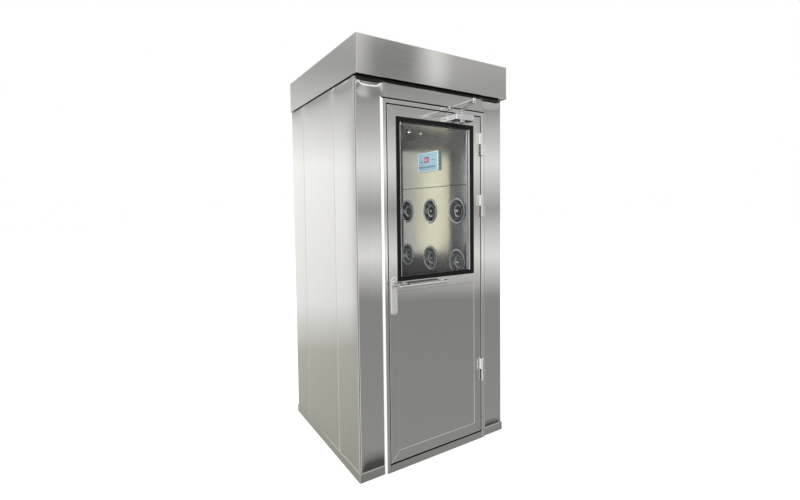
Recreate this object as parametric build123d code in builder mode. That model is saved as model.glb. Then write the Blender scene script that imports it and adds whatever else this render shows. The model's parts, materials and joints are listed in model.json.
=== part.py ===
from build123d import *
import math
import os

os.makedirs("parts", exist_ok=True)

# Cabinet. The origin is the centre of the footprint on the floor, the front door faces -Y.
body_width = 980
body_depth = 1000
body_top = 2055
plinth_height = 48
plinth_proud = 3
plinth_thick = 20
plinth_bend = 2.5
sheet = 1.5
bend_radius = 3
seam = 1
fold_depth = 24
half_width = body_width / 2
half_depth = body_depth / 2

# Seams between the folded wall panels
front_seam_x = 326
side_seam_front = -230
side_seam_rear = 265

# Hood over the roof
hood_low = 2060
hood_high = 2250
hood_front = 42
hood_side = 7
hood_skin = 2
hood_corner = 9
hood_lip = 4
deck_inset = 12
deck_high = 2076

# Door leaf, closed
leaf_half = 313
leaf_low = 46.5
leaf_high = 1938.5
leaf_front = -509
leaf_thick = 40
leaf_back = leaf_front + leaf_thick
stile_width = 52.5
top_rail = 56.5
middle_rail_low = 963.6
middle_rail_high = 1019.4
bottom_rail = 60
panel_recess = 3
leaf_bend = 2.5
mitre_groove = 0.6

# Door frame: u is measured outwards from the edge of the opening
opening_half = 318
opening_high = 1943.5
frame_face = -511
frame_width = 32
frame_slope = 13
frame_bend = 3.5
stop_width = 18
stop_y = -461
chamber_front = -395
frame_back_width = 24

# Chamber
chamber_half = 300
floor_high = 41
wall_split = 1550
ceiling_low = 1960
ceiling_thick = 25
ceiling_lip = 54
lining = 2
lining_fold = 22
lamp = (250, 190)
lamp_radius = 22
lamp_drop = 10

# Air nozzles: two rows of three on each side wall
nozzle_rows = (1062, 1387)
nozzle_pitch = 302
nozzle_middle_y = 4
nozzle_radius = 82
bowl_radius = 70
wall_hole_radius = 72

# Window
gasket_border = 22
gasket_proud = 1
pane_thick = 5
front_pane_y = -504
rear_pane_y = -476

# Door hardware
hinge_x = 315.5
hinge_y = -521
hinge_heights = (430, 1418, 1780)
knuckle_radius = 8.5
pin_radius = 4
hinge_height = 128
lock_x = -286
lock_low = 842
lock_high = 1046
lock_width = 39
lever_z = 1003
lever_reach = 120
lever_tall = 14
pull_left = -211
pull_right = 35
pull_z = 999
pull_out = 50
pull_radius = 7.5

# Door closer
closer_left = 74
closer_right = 204
closer_low = 1890
closer_high = 1922
closer_deep = 81
spindle = (139, -554)
elbow = (57, -756)
foot = (64, -544)
arm_low = 1945
arm_thick = 6
arm_gap = 1


def save(piece, name):
    """Label a finished piece and write it as a STEP file of its own."""
    piece.part.label = name
    export_step(piece.part, f"parts/{name}.step")


def front_plane(y):
    """The upright plane at y that faces the front, with X to the right and Z up."""
    return Plane.XZ.offset(-y)


def folded_sheet(points, low, high, thick=sheet):
    """A sheet folded along upright lines through the points of its middle line."""
    with BuildPart() as panel:
        with BuildSketch(Plane.XY.offset(low)):
            with BuildLine():
                FilletPolyline(*points, radius=bend_radius)
            trace(line_width=thick)
        extrude(amount=high - low)
    return panel


# Floor tray, with the plinth around it
with BuildPart() as floor_tray:
    tray_size = (2 * (half_width - plinth_thick), -2 * chamber_front, floor_high)
    Box(*tray_size, align=(Align.CENTER, Align.CENTER, Align.MIN))
save(floor_tray, "floor_tray")


def plinth_side(sign):
    """One side of the plinth with its returns along the front and the rear."""
    outer_x = sign * (half_width + plinth_proud)
    inner_x = sign * (half_width - plinth_thick)
    end_x = sign * (opening_half + frame_width)
    outer_y = half_depth + plinth_proud
    inner_y = half_depth - plinth_thick
    points = [
        (end_x, -outer_y), (outer_x, -outer_y), (outer_x, outer_y), (end_x, outer_y),
        (end_x, inner_y), (inner_x, inner_y), (inner_x, -inner_y), (end_x, -inner_y),
    ]
    with BuildPart() as side:
        with BuildSketch(Plane.XY):
            Polygon(*points, align=None)
        extrude(amount=plinth_height)
        corners = side.edges().filter_by(Axis.Z).filter_by(
            lambda edge: math.dist((abs(edge.center().X), abs(edge.center().Y)),
                                   (abs(outer_x), outer_y)) < 0.1)
        fillet(corners, bend_radius)
        lip = side.edges().group_by(Axis.Z)[-1].filter_by(
            lambda edge: abs(edge.center().X) > abs(outer_x) - 1.5
            or abs(edge.center().Y) > outer_y - 1.5)
        fillet(lip, plinth_bend)
    return side


save(plinth_side(-1), "left_plinth")
save(plinth_side(1), "right_plinth")

# Folded wall panels. The corner folds meet on the diagonal.
face_x = half_width - sheet / 2
face_y = half_depth - sheet / 2
seam_half = (seam + sheet) / 2
corner_shift = seam_half * math.sqrt(2)
corner_fold = 20


def side_panel_front(sign):
    """Side panel from the front corner to the first seam."""
    return folded_sheet([
        (sign * (face_x - corner_fold), -face_y + corner_shift + corner_fold),
        (sign * face_x, -face_y + corner_shift),
        (sign * face_x, side_seam_front - seam_half),
        (sign * (face_x - fold_depth), side_seam_front - seam_half),
    ], plinth_height, body_top)


def side_panel_middle(sign):
    """Side panel between the two seams."""
    return folded_sheet([
        (sign * (face_x - fold_depth), side_seam_front + seam_half),
        (sign * face_x, side_seam_front + seam_half),
        (sign * face_x, side_seam_rear - seam_half),
        (sign * (face_x - fold_depth), side_seam_rear - seam_half),
    ], plinth_height, body_top)


def side_panel_rear(sign):
    """Side panel from the second seam to the rear corner."""
    return folded_sheet([
        (sign * (face_x - fold_depth), side_seam_rear + seam_half),
        (sign * face_x, side_seam_rear + seam_half),
        (sign * face_x, face_y - corner_shift),
        (sign * (face_x - corner_fold), face_y - corner_shift - corner_fold),
    ], plinth_height, body_top)


def column_panel(sign, end):
    """Panel beside a doorway, at the front (end -1) or at the rear (end 1)."""
    return folded_sheet([
        (sign * (face_x - corner_shift - corner_fold), end * (face_y - corner_fold)),
        (sign * (face_x - corner_shift), end * face_y),
        (sign * (front_seam_x + seam_half), end * face_y),
        (sign * (front_seam_x + seam_half), end * (face_y - fold_depth)),
    ], plinth_height, body_top)


def header_panel(end):
    """Panel over a doorway."""
    edge = front_seam_x - seam_half
    return folded_sheet([
        (-edge, end * (face_y - fold_depth)), (-edge, end * face_y),
        (edge, end * face_y), (edge, end * (face_y - fold_depth)),
    ], opening_high + 9, body_top)


for side_name, sign in (("left", -1), ("right", 1)):
    save(side_panel_front(sign), f"{side_name}_side_front_panel")
    save(side_panel_middle(sign), f"{side_name}_side_middle_panel")
    save(side_panel_rear(sign), f"{side_name}_side_rear_panel")
    save(column_panel(sign, -1), f"front_{side_name}_column")
    save(column_panel(sign, 1), f"rear_{side_name}_column")
save(header_panel(-1), "front_header")
save(header_panel(1), "rear_header")

# Roof deck: a step that stands on the walls, under a plate that closes the hood
with BuildPart() as roof_deck:
    with BuildSketch(Plane.XY.offset(body_top)):
        Rectangle(body_width - 2 * deck_inset, body_depth - 2 * deck_inset)
    extrude(amount=hood_low + 3 - body_top)
    with BuildSketch(Plane.XY.offset(hood_low + 3)):
        with Locations((0, -hood_front / 2)):
            Rectangle(body_width + 2 * (hood_side - hood_skin), body_depth + hood_front - 2 * hood_skin)
    extrude(amount=deck_high - hood_low - 3)
save(roof_deck, "roof_deck")

# Hood: a pan of bent sheet, with a lip turned in along its lower edge
with BuildPart() as hood:
    with BuildSketch(Plane.XY.offset(hood_low)):
        with Locations((0, -hood_front / 2)):
            RectangleRounded(body_width + 2 * hood_side, body_depth + hood_front, hood_corner)
    extrude(amount=hood_high - hood_low)
    fillet(hood.edges().filter_by(Plane.XY).group_by(Axis.Z)[-1], 4)
    with BuildSketch(Plane.XY.offset(hood_low)):
        with Locations((0, -hood_front / 2)):
            Rectangle(body_width + 2 * (hood_side - hood_skin), body_depth + hood_front - 2 * hood_skin)
    extrude(amount=hood_high - hood_low - hood_skin, mode=Mode.SUBTRACT)
    with BuildSketch(Plane.XY.offset(hood_low)):
        with Locations((0, -hood_front / 2)):
            Rectangle(body_width + 2 * (hood_side - hood_skin), body_depth + hood_front - 2 * hood_skin)
            Rectangle(
                body_width + 2 * (hood_side - hood_skin - hood_lip),
                body_depth + hood_front - 2 * (hood_skin + hood_lip), mode=Mode.SUBTRACT)
    extrude(amount=hood_skin)
save(hood, "hood")

# Chamber lining: nozzle wall below, plain wall above, ceiling
def lining_points(sign):
    """Middle line of a lining sheet with its two folds."""
    face = sign * (chamber_half + lining / 2)
    back = sign * (chamber_half + lining_fold)
    end = -chamber_front - lining / 2
    return [(back, -end), (face, -end), (face, end), (back, end)]


nozzle_ys = [nozzle_middle_y + step * nozzle_pitch for step in (-1, 0, 1)]


def nozzle_wall(sign):
    """Lower lining of one side with a round hole for each nozzle."""
    sheet_wall = folded_sheet(lining_points(sign), floor_high, wall_split - seam, lining)
    with BuildPart() as wall:
        add(sheet_wall.part)
        with BuildSketch(Plane.YZ.offset(sign * chamber_half - 5)):
            with Locations(*[(y, z) for y in nozzle_ys for z in nozzle_rows]):
                Circle(wall_hole_radius)
        extrude(amount=10, mode=Mode.SUBTRACT)
    return wall


def nozzle_set(sign):
    """Six nozzles: a rounded flange, a bowl let into the wall and a flared horn in its middle."""
    flange_out = 6
    bowl_deep = 36
    bowl_floor_radius = 46
    horn_radius = 40
    horn_top = -7
    throat_radius = 16
    stub_end = -48
    wall = 1.5
    with BuildPart() as nozzles:
        for y in nozzle_ys:
            for z in nozzle_rows:
                mouth = Plane(
                    origin=(sign * chamber_half, y, z), x_dir=(0, 1, 0), z_dir=(-sign, 0, 0))
                section = Plane(origin=mouth.origin, x_dir=mouth.x_dir, z_dir=(0, 0, 1))
                out = 1 if section.y_dir.dot(mouth.z_dir) > 0 else -1
                profile = [
                    (nozzle_radius, 0), (nozzle_radius - 1.5, flange_out - 2),
                    (nozzle_radius - 7, flange_out), (bowl_radius, 2),
                    (bowl_radius - 7, -14), (bowl_floor_radius + 8, -31),
                    (bowl_floor_radius, -bowl_deep), (horn_radius - 8, -bowl_deep),
                    (horn_radius - 7, -22), (horn_radius, horn_top - 1.5),
                    (horn_radius - 2, horn_top), (horn_radius - 5, horn_top - 1),
                    (throat_radius + 6, -24), (throat_radius, -40), (throat_radius, stub_end),
                    (horn_radius - 8, stub_end), (bowl_floor_radius + 8, -31 - 2 * wall),
                    (bowl_radius - 7 + wall, -14 - wall), (bowl_radius, 0),
                ]
                with BuildSketch(section):
                    Polygon(*[(radius, out * height) for radius, height in profile], align=None)
                revolve(axis=Axis(mouth.origin, mouth.z_dir))
    return nozzles


for side_name, sign in (("left", -1), ("right", 1)):
    save(nozzle_wall(sign), f"{side_name}_nozzle_wall")
    save(folded_sheet(lining_points(sign), wall_split + seam, ceiling_low - ceiling_lip - seam, lining),
         f"{side_name}_upper_wall")
    save(nozzle_set(sign), f"{side_name}_nozzles")

# Ceiling pan, with a lip down the top of each side wall
with BuildPart() as ceiling:
    with BuildSketch(Plane.XY.offset(ceiling_low)):
        Rectangle(2 * (chamber_half + lining_fold), -2 * chamber_front)
    extrude(amount=ceiling_thick)
    with BuildSketch(Plane.XY.offset(ceiling_low - ceiling_lip)):
        for sign in (-1, 1):
            with Locations((sign * (chamber_half + lining / 2), 0)):
                Rectangle(lining, -2 * chamber_front)
    extrude(amount=ceiling_lip)
save(ceiling, "ceiling")

with BuildPart() as downlight:
    with BuildSketch(Plane.XY.offset(ceiling_low)):
        with Locations(lamp):
            Circle(lamp_radius)
    extrude(amount=-lamp_drop)
    fillet(downlight.edges().group_by(Axis.Z)[0], 6)
save(downlight, "downlight")

# Control panel on the right wall
with BuildPart() as control_panel:
    with BuildSketch(Plane.YZ.offset(chamber_half)):
        with Locations((5, 1724)):
            RectangleRounded(244, 130, 4)
    extrude(amount=-12)
save(control_panel, "control_panel")


# Door frame. Its section is the same for the jambs and the head, which meet on a mitre.
frame_section = [
    (frame_width, -half_depth), (frame_width, -half_depth - 2),
    (frame_width - frame_slope, frame_face), (0, frame_face), (0, stop_y),
    (-stop_width, stop_y), (-stop_width, chamber_front), (frame_back_width, chamber_front),
    (frame_back_width, stop_y + 2), (7, stop_y + 2), (7, -half_depth),
]
mitre_size = 80


def frame_profile(plane, place):
    """Sketch of the frame's section with its bends, each point put in place by a function."""
    with BuildSketch(plane) as profile:
        Polygon(*[place(u, y) for u, y in frame_section], align=None)
        for u, y in ((frame_width, -half_depth - 2), (frame_width - frame_slope, frame_face),
                     (0, frame_face)):
            corner = profile.vertices().sort_by_distance((*place(u, y), 0))[0]
            fillet(corner, frame_bend)
    return profile


def frame_jamb(sign, end):
    """Upright of a door frame, cut on the mitre at its top."""
    profile = frame_profile(Plane.XY, lambda u, y: (sign * (opening_half + u), -end * y))
    with BuildPart() as jamb:
        add(profile.sketch)
        extrude(amount=opening_high + frame_width)
        with BuildSketch(Plane.XZ.offset(-600)):
            x = sign * opening_half
            Polygon(
                (x - sign * mitre_size, opening_high - mitre_size),
                (x + sign * mitre_size, opening_high + mitre_size),
                (x - sign * mitre_size, opening_high + mitre_size), align=None)
        extrude(amount=1200, mode=Mode.SUBTRACT)
    return jamb


def frame_head(end):
    """Head of a door frame, cut on the mitre at both ends."""
    reach = opening_half + frame_width
    profile = frame_profile(Plane.YZ.offset(-reach), lambda u, y: (-end * y, opening_high + u))
    with BuildPart() as head:
        add(profile.sketch)
        extrude(amount=2 * reach, dir=(1, 0, 0))
        for sign in (-1, 1):
            with BuildSketch(Plane.XZ.offset(-600)):
                x = sign * opening_half
                Polygon(
                    (x - sign * mitre_size, opening_high - mitre_size),
                    (x + sign * mitre_size, opening_high + mitre_size),
                    (x + sign * mitre_size, opening_high - mitre_size), align=None)
            extrude(amount=1200, mode=Mode.SUBTRACT)
    return head


def threshold(end):
    """Sill of a doorway, with an upstand behind the door's lower edge."""
    outline = [
        (frame_face, 0), (frame_face, floor_high), (stop_y, floor_high), (stop_y, floor_high + 17),
        (stop_y + 10, floor_high + 17), (stop_y + 10, floor_high), (chamber_front, floor_high),
        (chamber_front, 0),
    ]
    with BuildPart() as sill:
        with BuildSketch(Plane.YZ.offset(-opening_half)):
            Polygon(*[(-end * y, z) for y, z in outline], align=None)
        extrude(amount=2 * opening_half)
        for sign in (-1, 1):
            with BuildSketch(Plane.XY):
                with Locations((sign * opening_half, -end * chamber_front)):
                    Rectangle(2 * stop_width, 2 * (chamber_front - stop_y))
            extrude(amount=floor_high + 20, mode=Mode.SUBTRACT)
    return sill


def door_seal(end):
    """Rubber ring between the stop and the back of the door."""
    depth = leaf_back + 0.5 - stop_y
    with BuildPart() as seal:
        with BuildSketch(front_plane(-end * stop_y)):
            with Locations((0, (opening_high + floor_high) / 2)):
                Rectangle(2 * (opening_half - 2), opening_high - floor_high - 4)
            with Locations((0, (opening_high - 16 + floor_high + 15) / 2)):
                Rectangle(2 * (opening_half - 16), opening_high - floor_high - 31, mode=Mode.SUBTRACT)
        extrude(amount=end * depth)
    return seal


save(frame_jamb(-1, -1), "front_frame_left_jamb")
save(frame_jamb(1, -1), "front_frame_right_jamb")
save(frame_head(-1), "front_frame_head")
save(threshold(-1), "front_threshold")
save(door_seal(-1), "front_door_seal")

with BuildPart() as rear_door_frame:
    add(frame_jamb(-1, 1).part)
    add(frame_jamb(1, 1).part)
    add(frame_head(1).part)
save(rear_door_frame, "rear_door_frame")
save(threshold(1), "rear_threshold")


# Door leaf: mitred stiles and rails round a lower panel and a window
leaf_inner = leaf_half - stile_width
window_low = middle_rail_high
window_high = leaf_high - top_rail
panel_low = leaf_low + bottom_rail


def leaf_bar(points, direction):
    """A bar of the leaf over its outline, bent along its length and grooved at its mitres."""
    with BuildPart() as bar:
        with BuildSketch(front_plane(leaf_back)):
            Polygon(*points, align=None)
        extrude(amount=leaf_thick)
        for side in (0, -1):
            ends = bar.faces().sort_by(Axis.Y)[side].edges().filter_by(direction, reverse=True)
            chamfer(ends, mitre_groove)
        for side in (0, -1):
            fillet(bar.faces().sort_by(Axis.Y)[side].edges().filter_by(direction), leaf_bend)
    return bar


def stile(sign):
    """Upright bar of the leaf, mitred at both ends."""
    return leaf_bar([
        (sign * leaf_half, leaf_low), (sign * leaf_half, leaf_high),
        (sign * leaf_inner, window_high), (sign * leaf_inner, panel_low)], Axis.Z)


left_stile = stile(-1)
right_stile = stile(1)
door_top_rail = leaf_bar([
    (-leaf_half, leaf_high), (leaf_half, leaf_high),
    (leaf_inner, window_high), (-leaf_inner, window_high)], Axis.X)
door_middle_rail = leaf_bar([
    (-leaf_inner, middle_rail_low), (leaf_inner, middle_rail_low),
    (leaf_inner, middle_rail_high), (-leaf_inner, middle_rail_high)], Axis.X)
door_bottom_rail = leaf_bar([
    (-leaf_half, leaf_low), (leaf_half, leaf_low),
    (leaf_inner, panel_low), (-leaf_inner, panel_low)], Axis.X)
save(left_stile, "door_left_stile")
save(right_stile, "door_right_stile")
save(door_top_rail, "door_top_rail")
save(door_middle_rail, "door_middle_rail")
save(door_bottom_rail, "door_bottom_rail")

with BuildPart() as door_lower_panel:
    with BuildSketch(front_plane(leaf_back - panel_recess)):
        with Locations((0, (panel_low + middle_rail_low) / 2)):
            Rectangle(2 * leaf_inner, middle_rail_low - panel_low)
    extrude(amount=leaf_thick - 2 * panel_recess)
save(door_lower_panel, "door_lower_panel")

window_middle = (window_low + window_high) / 2
window_tall = window_high - window_low
clear_half = leaf_inner - gasket_border
clear_tall = window_tall - 2 * gasket_border

with BuildPart() as window_gasket:
    with BuildSketch(front_plane(leaf_back + gasket_proud)):
        with Locations((0, window_middle)):
            Rectangle(2 * leaf_inner, window_tall)
            Rectangle(2 * clear_half, clear_tall, mode=Mode.SUBTRACT)
    extrude(amount=leaf_thick + 2 * gasket_proud)
save(window_gasket, "window_gasket")

with BuildPart() as window_glass:
    for pane_y in (front_pane_y, rear_pane_y):
        with BuildSketch(front_plane(pane_y + pane_thick / 2)):
            with Locations((0, window_middle)):
                Rectangle(2 * clear_half, clear_tall)
        extrude(amount=pane_thick)
save(window_glass, "window_glass")

# Upright channels that space the two panes
channel_front = front_pane_y + pane_thick / 2
channel_back = rear_pane_y - pane_thick / 2
channel_rib = 6
with BuildPart() as glazing_channels:
    with BuildSketch(Plane.XY.offset(window_middle - clear_tall / 2)):
        for sign in (-1, 1):
            Polygon(*[(sign * x, y) for x, y in (
                (clear_half, channel_front), (clear_half - 8, channel_front),
                (clear_half - 8, channel_front + channel_rib),
                (clear_half - 3, channel_front + channel_rib),
                (clear_half - 3, channel_back - channel_rib),
                (clear_half - 8, channel_back - channel_rib),
                (clear_half - 8, channel_back), (clear_half, channel_back))], align=None)
    extrude(amount=clear_tall)
save(glazing_channels, "glazing_channels")

# Rear door: the same leaf in one piece, shut, with its window and fittings. It is mirrored.
with BuildPart() as one_piece_leaf:
    with BuildSketch(front_plane(leaf_back)):
        with Locations((0, (leaf_low + leaf_high) / 2)):
            Rectangle(2 * leaf_half, leaf_high - leaf_low)
    extrude(amount=leaf_thick)
    for side in (0, -1):
        fillet(one_piece_leaf.faces().sort_by(Axis.Y)[side].edges(), leaf_bend)
    with BuildSketch(front_plane(leaf_back)):
        with Locations((0, window_middle)):
            Rectangle(2 * leaf_inner, window_tall)
    extrude(amount=leaf_thick, mode=Mode.SUBTRACT)
    with BuildSketch(front_plane(leaf_front), front_plane(leaf_back - panel_recess)):
        with Locations((0, (panel_low + middle_rail_low) / 2)):
            Rectangle(2 * leaf_inner, middle_rail_low - panel_low)
    extrude(amount=-panel_recess, mode=Mode.SUBTRACT)

with BuildPart() as rear_door_leaf:
    add(mirror(one_piece_leaf.part, about=Plane.XZ))
save(rear_door_leaf, "rear_door_leaf")

with BuildPart() as rear_window_gasket:
    add(mirror(window_gasket.part, about=Plane.XZ))
save(rear_window_gasket, "rear_window_gasket")

with BuildPart() as rear_window_glass:
    add(mirror(window_glass.part, about=Plane.XZ))
save(rear_window_glass, "rear_window_glass")


# Hinges: the lower half of each barrel is on the frame and carries the pin
def hinge_half(z, on_frame):
    """Half a butt hinge: its knuckle, and the plate that is screwed down."""
    low = z - hinge_height / 2 if on_frame else z + 0.25
    tall = hinge_height / 2 - 0.25
    plate_y = frame_face if on_frame else leaf_front
    sign = 1 if on_frame else -1
    plate_end = hinge_x + sign * 31
    plate_near = hinge_x + sign * 4
    with BuildPart() as half:
        with BuildSketch(Plane.XY.offset(low)):
            with Locations((hinge_x, hinge_y)):
                Circle(knuckle_radius)
            Polygon(
                (plate_end, plate_y), (plate_end, plate_y - 3),
                (hinge_x + sign * knuckle_radius, plate_y - 3),
                (hinge_x + sign * knuckle_radius, hinge_y), (plate_near, hinge_y),
                (plate_near, plate_y), align=None)
        extrude(amount=tall)
        if on_frame:
            with BuildSketch(Plane.XY.offset(z - 1)):
                with Locations((hinge_x, hinge_y)):
                    Circle(pin_radius)
            extrude(amount=tall - 3)
        else:
            with BuildSketch(Plane.XY.offset(low)):
                with Locations((hinge_x, hinge_y)):
                    Circle(pin_radius + 0.05)
            extrude(amount=tall - 2, mode=Mode.SUBTRACT)
    return half


with BuildPart() as frame_hinges:
    for z in hinge_heights:
        add(hinge_half(z, True).part)
save(frame_hinges, "frame_hinges")

with BuildPart() as door_hinges:
    for z in hinge_heights:
        add(hinge_half(z, False).part)
save(door_hinges, "door_hinges")

# Lock plate with its cylinder, and the lever on its rose
with BuildPart() as lock_plate:
    with BuildSketch(front_plane(leaf_front)):
        with Locations((lock_x, (lock_low + lock_high) / 2)):
            SlotOverall(lock_high - lock_low, lock_width, rotation=90)
    extrude(amount=7)
    fillet(lock_plate.faces().sort_by(Axis.Y)[0].edges(), 4.5)
    with BuildSketch(front_plane(leaf_front - 7)):
        with Locations((lock_x, lock_low + 14)):
            Circle(8.5)
    extrude(amount=4)
save(lock_plate, "lock_plate")

lever_back = leaf_front - 7.3
lever_near = leaf_front - 64
lever_thick = 14
with BuildPart() as lock_lever:
    with BuildSketch(front_plane(lever_back)):
        with Locations((lock_x, lever_z)):
            Circle(13)
    extrude(amount=8)
    with BuildSketch(front_plane(lever_back)):
        with Locations((lock_x, lever_z)):
            Circle(lever_tall / 2)
    extrude(amount=lever_back - lever_near)
    with BuildSketch(front_plane(lever_near)):
        with Locations((lock_x + (lever_reach - lever_tall / 2) / 2, lever_z)):
            SlotOverall(lever_reach + lever_tall / 2, lever_tall)
    extrude(amount=lever_thick)
    fillet(lock_lever.faces().sort_by(Axis.Y)[0].edges(), 5)
save(lock_lever, "lock_lever")

# Pull bar on the middle rail
with BuildPart() as pull_handle:
    with BuildLine() as pull_path:
        FilletPolyline(
            (pull_left, leaf_front - 3, pull_z), (pull_left, leaf_front - pull_out, pull_z),
            (pull_right, leaf_front - pull_out, pull_z), (pull_right, leaf_front - 3, pull_z),
            radius=16)
    with BuildSketch(front_plane(leaf_front - 3)):
        with Locations((pull_left, pull_z)):
            Circle(pull_radius)
    sweep(path=pull_path.line)
    with BuildSketch(front_plane(leaf_front)):
        with Locations((pull_left, pull_z), (pull_right, pull_z)):
            Circle(14)
    extrude(amount=6)
save(pull_handle, "pull_handle")

# Door closer: body on the leaf, main arm on its spindle, forearm from a foot on the frame head
closer_plate = 5
with BuildPart() as closer_body:
    with BuildSketch(Plane.XY.offset(closer_low)):
        with Locations(((closer_left + closer_right) / 2, leaf_front - closer_deep / 2)):
            Rectangle(closer_right - closer_left, closer_deep)
    extrude(amount=closer_high - closer_low)
    fillet(closer_body.edges().filter_by(Axis.Z).group_by(Axis.Y)[0], 12)
    near = closer_body.faces().filter_by(Axis.Z)
    fillet(near.edges().filter_by(lambda edge: edge.center().Y < leaf_front - 1), 3)
    with BuildSketch(front_plane(leaf_front)):
        with Locations(((closer_left + closer_right) / 2, (closer_low + closer_high) / 2)):
            RectangleRounded(closer_right - closer_left + 14, closer_high - closer_low + 4, 3)
    extrude(amount=closer_plate)
    with BuildSketch(Plane.XY.offset(closer_low - 10)):
        with Locations(spindle):
            Circle(16)
    extrude(amount=10)
    fillet(closer_body.faces().sort_by(Axis.Z)[0].edges(), 4)
    with BuildSketch(Plane.XY.offset(closer_high)):
        with Locations(spindle):
            Circle(8)
    extrude(amount=arm_low - 0.3 - closer_high)
save(closer_body, "closer_body")


def closer_bar(start, end, low, thick, start_width, end_width, boss):
    """A flat tapered bar with a round boss at both ends."""
    along = (Vector(*end) - Vector(*start)).normalized()
    across = Vector(-along.Y, along.X)
    first, last = Vector(*start), Vector(*end)
    corners = [first + across * start_width / 2, last + across * end_width / 2,
               last - across * end_width / 2, first - across * start_width / 2]
    with BuildPart() as bar:
        with BuildSketch(Plane.XY.offset(low)):
            Polygon(*[(corner.X, corner.Y) for corner in corners], align=None)
            with Locations(start, end):
                Circle(boss)
        extrude(amount=thick)
    return bar


# The main arm carries the cap of the spindle, the forearm carries the cap of the elbow.
arm_cap = 5
forearm_low = arm_low + arm_thick + arm_gap
with BuildPart() as closer_main_arm:
    add(closer_bar(spindle, elbow, arm_low, arm_thick, 15, 19, 11).part)
    with BuildSketch(Plane.XY.offset(arm_low + arm_thick)):
        with Locations(spindle):
            Circle(9)
    extrude(amount=arm_cap)
    fillet(closer_main_arm.faces().sort_by(Axis.Z)[-1].edges(), 2.5)
save(closer_main_arm, "closer_main_arm")

with BuildPart() as closer_forearm:
    add(closer_bar(foot, elbow, forearm_low, arm_thick, 13, 16, 11).part)
    with BuildSketch(Plane.XY.offset(forearm_low + arm_thick)):
        with Locations(elbow):
            Circle(9)
    extrude(amount=arm_cap)
    fillet(closer_forearm.faces().sort_by(Axis.Z)[-1].edges(), 2.5)
save(closer_forearm, "closer_forearm")

# Foot: a plate on the frame head with two lugs round the end of the forearm
foot_plate_left = 30
foot_plate_right = 76
foot_plate_low = opening_high + 1
foot_plate_high = opening_high + frame_width - frame_slope
lug_thick = 4
lug_gap = 0.3
with BuildPart() as closer_foot:
    with BuildSketch(front_plane(frame_face)):
        with Locations(((foot_plate_left + foot_plate_right) / 2,
                        (foot_plate_low + foot_plate_high) / 2)):
            RectangleRounded(foot_plate_right - foot_plate_left, foot_plate_high - foot_plate_low, 3)
    extrude(amount=5)
    for low in (forearm_low - lug_gap - lug_thick, forearm_low + arm_thick + lug_gap):
        with BuildSketch(Plane.XY.offset(low)):
            with Locations((foot[0], (foot[1] + frame_face - 5) / 2)):
                Rectangle(22, frame_face - 5 - foot[1])
            with Locations(foot):
                Circle(11)
        extrude(amount=lug_thick)
save(closer_foot, "closer_foot")

# Fittings of the rear door
with BuildPart() as rear_door_fittings:
    for piece in (lock_plate, lock_lever, pull_handle, closer_body, closer_main_arm, closer_forearm,
                  closer_foot):
        add(mirror(piece.part, about=Plane.XZ))
save(rear_door_fittings, "rear_door_fittings")

with BuildPart() as rear_hinges:
    for half in (frame_hinges, door_hinges):
        add(mirror(half.part, about=Plane.XZ))
save(rear_hinges, "rear_hinges")
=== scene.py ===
"""A walk-in cleanroom air shower of brushed stainless steel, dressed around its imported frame."""

import json
import logging
import math
from dataclasses import dataclass
from enum import Enum

import bpy
from mathutils import Matrix, Vector


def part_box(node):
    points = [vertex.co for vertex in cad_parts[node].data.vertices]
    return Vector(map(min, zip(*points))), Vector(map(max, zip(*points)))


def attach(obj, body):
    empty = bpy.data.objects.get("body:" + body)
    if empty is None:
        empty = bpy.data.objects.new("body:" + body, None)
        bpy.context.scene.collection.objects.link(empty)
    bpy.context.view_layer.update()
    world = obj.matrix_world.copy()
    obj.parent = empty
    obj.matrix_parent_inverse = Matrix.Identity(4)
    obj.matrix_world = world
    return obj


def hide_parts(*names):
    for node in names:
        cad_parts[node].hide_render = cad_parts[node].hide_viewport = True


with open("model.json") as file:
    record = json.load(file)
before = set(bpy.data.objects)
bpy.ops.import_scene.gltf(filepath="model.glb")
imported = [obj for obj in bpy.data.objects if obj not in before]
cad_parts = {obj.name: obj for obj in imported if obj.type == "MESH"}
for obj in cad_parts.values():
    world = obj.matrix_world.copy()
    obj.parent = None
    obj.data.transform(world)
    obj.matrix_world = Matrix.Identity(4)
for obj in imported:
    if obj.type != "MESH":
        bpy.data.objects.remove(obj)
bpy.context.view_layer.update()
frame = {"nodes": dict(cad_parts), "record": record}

log = logging.getLogger("air_shower")

Piece = bpy.types.Object
Material = bpy.types.Material
Node = bpy.types.Node
Socket = bpy.types.NodeSocket
Tree = bpy.types.NodeTree

MM = 0.001
FRONT = Vector((0.0, -1.0, 0.0))
UP = Vector((0.0, 0.0, 1.0))


def linear(hex_colour: str) -> tuple[float, float, float, float]:
    """Turn an sRGB hex colour into linear RGBA.

    Args:
        hex_colour: six hex digits after a hash, such as "#8c8c88".

    Returns:
        The four channels, with an alpha of 1.
    """
    channels = [int(hex_colour[i:i + 2], 16) / 255 for i in (1, 3, 5)]
    curved = [c / 12.92 if c <= 0.04045 else ((c + 0.055) / 1.055) ** 2.4 for c in channels]
    return (*curved, 1.0)


def shade_of(hex_colour: str, factor: float) -> tuple[float, float, float, float]:
    """A colour made darker or lighter.

    Args:
        hex_colour: the sRGB colour.
        factor: what its linear channels are multiplied by.

    Returns:
        Linear RGBA, kept at 1 or less.
    """
    return (*(min(1.0, c * factor) for c in linear(hex_colour)[:3]), 1.0)


def wire(tree: Tree, node: Node, sockets: dict, links: dict) -> None:
    """Set a node's values and feed its inputs.

    Args:
        tree: the node tree.
        node: the node.
        sockets: values for input sockets, by name or number.
        links: what feeds input sockets, by name or number: a socket, or a node's first output.
    """
    for key, value in sockets.items():
        node.inputs[key].default_value = value
    for key, source in links.items():
        tree.links.new(source.outputs[0] if isinstance(source, Node) else source, node.inputs[key])


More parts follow.
